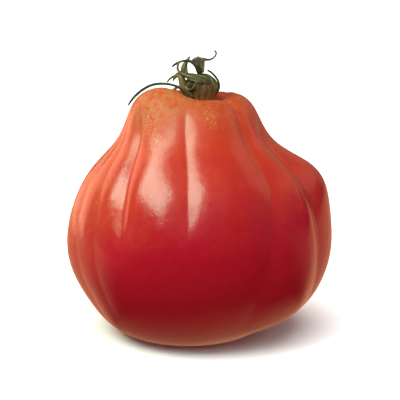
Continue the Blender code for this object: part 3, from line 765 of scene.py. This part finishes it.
def blade_object(blade, tone, brown, rings):
    """A sepal or strip, with the numbers that its material reads.

    They are the place of its grain, its tone with paler edges, how brown it is, and no fringe.
    """
    column, ring, quads, caps = closed_grid(SEPAL_COLUMNS, rings)
    around = 2.0 * math.pi * column / SEPAL_COLUMNS
    along = ring / rings
    piece = surface_object(blade[0], blade_point(blade, around, along), quads, caps)
    name, _, widths, thickness = blade[:4]
    # the grain is drawn out along the blade, and each blade has a stretch of it of its own
    lengthways = 1.6 * along + 7.0 * len(name)
    grain = np.stack([0.5 * max(widths) * np.cos(around), 0.5 * thickness * np.sin(around), lengthways],
                     axis=-1)
    add_attribute(piece, "grain", MM * grain)
    add_attribute(piece, "tone", tone + PALE_EDGE * rise(0.70, 1.0, np.abs(np.cos(around))))
    add_attribute(piece, "brown", np.full_like(along, brown))
    add_attribute(piece, "fringe", np.zeros_like(along))
    return piece


class TOMATO_OT_fruit(bpy.types.Operator):
    """Builds the ribbed skin of the fruit"""

    bl_idname = "tomato.fruit"
    bl_label = "Fruit"

    def execute(self, context):
        columns = COLUMNS_PER_RIB * len(CREASES)
        column, ring, quads, caps = closed_grid(columns, FRUIT_RINGS)
        level = even_level(ring, FRUIT_RINGS)
        azimuth = rib_azimuth(column, COLUMNS_PER_RIB, level)
        points = fruit_point(azimuth, level)
        skin = surface_object("fruit_skin", points, quads, caps)
        # orange upwards: partly the real ripening, partly painted light on the lit upper half
        turning_and_lit = TURNING_AND_LIT_SHARE * rise(*TURNING_AND_LIT_HEIGHTS, points[:, 2])
        # one of these patches is a painted sheen below the highlights, not riper skin
        blush_and_sheen = patches(azimuth, level, BLUSH_AND_SHEEN_PATCHES)
        add_attribute(skin, "crown", np.clip(turning_and_lit + blush_and_sheen, 0.0, 1.0))
        tan = patches(azimuth, level, TAN_PATCHES)
        cork = patches(azimuth, level, CORKY_PATCHES)
        add_attribute(skin, "tan", tan)
        add_attribute(skin, "speckle", cork)
        hollow = 1.0 - rise(*HOLLOW_END, level)
        worn = patches(azimuth, level, WORN_PATCHES)
        add_attribute(skin, "dull",
                      DULL_TAN * tan + DULL_CORK * cork + DULL_HOLLOW * hollow + DULL_WORN * worn)
        skin.data.materials.append(skin_material(context.scene.tomato_fruit))
        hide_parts("fruit")
        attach(skin, "root")
        return {"FINISHED"}


class TOMATO_OT_calyx(bpy.types.Operator):
    """Builds the dried cup and its sepals"""

    bl_idname = "tomato.calyx"
    bl_label = "Calyx"

    def execute(self, context):
        material = sepal_material(context.scene.tomato_calyx)
        column, ring, quads, caps = closed_grid(CUP_COLUMNS, CUP_RINGS)
        azimuth, level = 360.0 * column / CUP_COLUMNS, ring / CUP_RINGS
        points = cup_point(azimuth, level)
        cup = surface_object("calyx_cup", points, quads, caps)
        turn = np.radians(azimuth)
        grain = np.stack([5.0 * np.cos(turn), 5.0 * np.sin(turn), 0.12 * points[:, 2]], axis=-1)
        add_attribute(cup, "grain", MM * grain)
        # the crests of the ribs are paler, and straw-coloured where they start
        rib = cup_rib(turn)
        brown = patches(azimuth, level, CUP_BROWN_PATCHES)
        add_attribute(cup, "tone", 0.29 * rib - 0.10 * brown)
        add_attribute(cup, "brown", 0.65 * brown)
        fringe = 1.0 - rise(*FRINGE_HEIGHTS, points[:, 2])
        add_attribute(cup, "fringe", (0.10 + 0.80 * rib) * fringe)
        pieces = [cup]
        for sepal, tone, dried in zip(SEPALS, SEPAL_TONES, SEPAL_BROWNS):
            pieces.append(blade_object(sepal, tone, dried, SEPAL_RINGS))
        for piece in pieces:
            piece.data.materials.append(material)
            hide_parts("calyx")
            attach(piece, "root")
        return {"FINISHED"}


class TOMATO_OT_stalk(bpy.types.Operator):
    """Builds the withered stub of the stalk"""

    bl_idname = "tomato.stalk"
    bl_label = "Stalk"

    def execute(self, context):
        column, ring, quads, caps = closed_grid(STALK_COLUMNS, STALK_RINGS)
        around, along = 2.0 * math.pi * column / STALK_COLUMNS, ring / STALK_RINGS
        stub = surface_object("stalk_stub", stalk_point(around, along), quads, caps)
        grain = np.stack([2.0 * np.cos(around), 2.0 * np.sin(around), 1.2 * along], axis=-1)
        add_attribute(stub, "grain", MM * grain)
        aside = np.sin(around)
        # the left side is darkened as painted shade against the window's light there
        middle, left_painted_shade, gain = STALK_TONES_AND_LEFT_SHADE
        add_attribute(stub, "tone", middle - left_painted_shade * rise(0.0, 1.0, -aside) + gain * rise(0.0, 1.0, aside))
        pieces = [stub, blade_object(TORN_STRIP, STRIP_TONE, 0.0, STRIP_RINGS)]
        material = stalk_material(context.scene.tomato_calyx)
        for piece in pieces:
            piece.data.materials.append(material)
            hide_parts("stalk")
            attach(piece, "root")
        return {"FINISHED"}


def aimed_object(name, data, azimuth, elevation, distance):
    """A lamp or camera that looks at the fruit's middle.

    It stands off by the distance, turned from the front by the azimuth and raised by the elevation,
    both in radians.
    """
    back = Vector((math.sin(azimuth) * math.cos(elevation), -math.cos(azimuth) * math.cos(elevation),
                   math.sin(elevation)))
    item = bpy.data.objects.new(name, data)
    item.location = Vector(AIM) + back * distance
    item.rotation_mode = "QUATERNION"
    item.rotation_quaternion = back.to_track_quat("Z", "Y")
    bpy.context.scene.collection.objects.link(item)
    return item


def add_soft_light(name, azimuth, elevation, spread, strength):
    """A wide, even light for the floor and the shade, with no reflection of its own."""
    data = bpy.data.lights.new(name, "SUN")
    data.angle = math.radians(spread)
    data.energy = strength
    light = aimed_object(name, data, math.radians(azimuth), math.radians(elevation), 1.0)
    light.visible_glossy = False
    return light


def add_floor(material):
    """A wide square of floor, just under the fruit."""
    far = FLOOR_REACH
    mesh = bpy.data.meshes.new("floor")
    corners = [(-far, -far, -FLOOR_DROP), (far, -far, -FLOOR_DROP), (far, far, -FLOOR_DROP),
               (-far, far, -FLOOR_DROP)]
    mesh.from_pydata(corners, [], [(0, 1, 2, 3)])
    floor = bpy.data.objects.new("floor", mesh)
    floor.data.materials.append(material)
    bpy.context.scene.collection.objects.link(floor)
    return floor


def add_light(name, azimuth, elevation, distance, width, height, power, colour):
    """A rectangular area light that faces the fruit."""
    data = bpy.data.lights.new(name, "AREA")
    data.shape = "RECTANGLE"
    data.size = width
    data.size_y = height
    data.energy = power
    data.color = linear(colour)[:3]
    return aimed_object(name, data, math.radians(azimuth), math.radians(elevation), distance)


def studio_world(settings):
    """Dim studio air behind the lights, shown as pale as the floor."""
    world = bpy.data.worlds.new("studio_air")
    world.use_nodes = True
    nodes, links = world.node_tree.nodes, world.node_tree.links
    nodes["Background"].inputs["Color"].default_value = linear("E8E8E8")
    nodes["Background"].inputs["Strength"].default_value = AIR_LIGHT
    shown = nodes.new("ShaderNodeBackground")
    shown.inputs["Color"].default_value = settings.floor
    shown.inputs["Strength"].default_value = AIR_SHOWN
    seen = nodes.new("ShaderNodeLightPath")
    mix = nodes.new("ShaderNodeMixShader")
    links.new(seen.outputs["Is Camera Ray"], mix.inputs[0])
    links.new(nodes["Background"].outputs[0], mix.inputs[1])
    links.new(shown.outputs[0], mix.inputs[2])
    links.new(mix.outputs[0], nodes["World Output"].inputs["Surface"])
    return world


class TOMATO_OT_stage(bpy.types.Operator):
    """Sets up the floor, lights and camera"""

    bl_idname = "tomato.stage"
    bl_label = "Stage"

    def execute(self, context):
        settings = context.scene.tomato_stage
        floor = add_floor(floor_material(settings))
        for light in LIGHTS:
            add_light(*light)
        for light in SOFT_LIGHTS:
            add_soft_light(*light)
        # one more wide light falls on the floor alone, so that it is evenly white
        lit = bpy.data.collections.new("lit_floor")
        lit.objects.link(floor)
        add_soft_light(*FLOOR_LIGHT).light_linking.receiver_collection = lit
        context.scene.world = studio_world(settings)
        context.scene.view_settings.view_transform = "Standard"
        lens = bpy.data.cameras.new("camera")
        lens.sensor_width = SENSOR_WIDTH
        lens.lens = SENSOR_WIDTH * settings.distance / settings.view_width
        lens.clip_start = 0.01
        lens.clip_end = 50.0
        context.scene.camera = aimed_object("camera", lens, 0.0, settings.elevation, settings.distance)
        return {"FINISHED"}


class TOMATO_PT_panel(bpy.types.Panel):
    """Lists the steps and their settings"""

    bl_idname = "TOMATO_PT_panel"
    bl_label = "Tomato"
    bl_space_type = "VIEW_3D"
    bl_region_type = "UI"
    bl_category = "Tomato"

    def draw(self, context):
        for group in (context.scene.tomato_fruit, context.scene.tomato_calyx, context.scene.tomato_stage):
            for name in group.__annotations__:
                self.layout.prop(group, name)
        for operator in OPERATORS:
            self.layout.operator(operator.bl_idname)


OPERATORS = (TOMATO_OT_stage, TOMATO_OT_fruit, TOMATO_OT_calyx, TOMATO_OT_stalk)
CLASSES = (FruitSettings, CalyxSettings, StageSettings, *OPERATORS, TOMATO_PT_panel)


def register():
    """Makes the classes and the scene's settings known to Blender."""
    for made in CLASSES:
        bpy.utils.register_class(made)
    bpy.types.Scene.tomato_fruit = bpy.props.PointerProperty(type=FruitSettings)
    bpy.types.Scene.tomato_calyx = bpy.props.PointerProperty(type=CalyxSettings)
    bpy.types.Scene.tomato_stage = bpy.props.PointerProperty(type=StageSettings)


def unregister():
    """Takes them away again."""
    del bpy.types.Scene.tomato_stage
    del bpy.types.Scene.tomato_calyx
    del bpy.types.Scene.tomato_fruit
    for made in reversed(CLASSES):
        bpy.utils.unregister_class(made)


def main():
    """Builds the stage and the pieces."""
    register()
    bpy.ops.tomato.stage()
    bpy.ops.tomato.fruit()
    bpy.ops.tomato.calyx()
    bpy.ops.tomato.stalk()


if __name__ == "__main__":
    main()
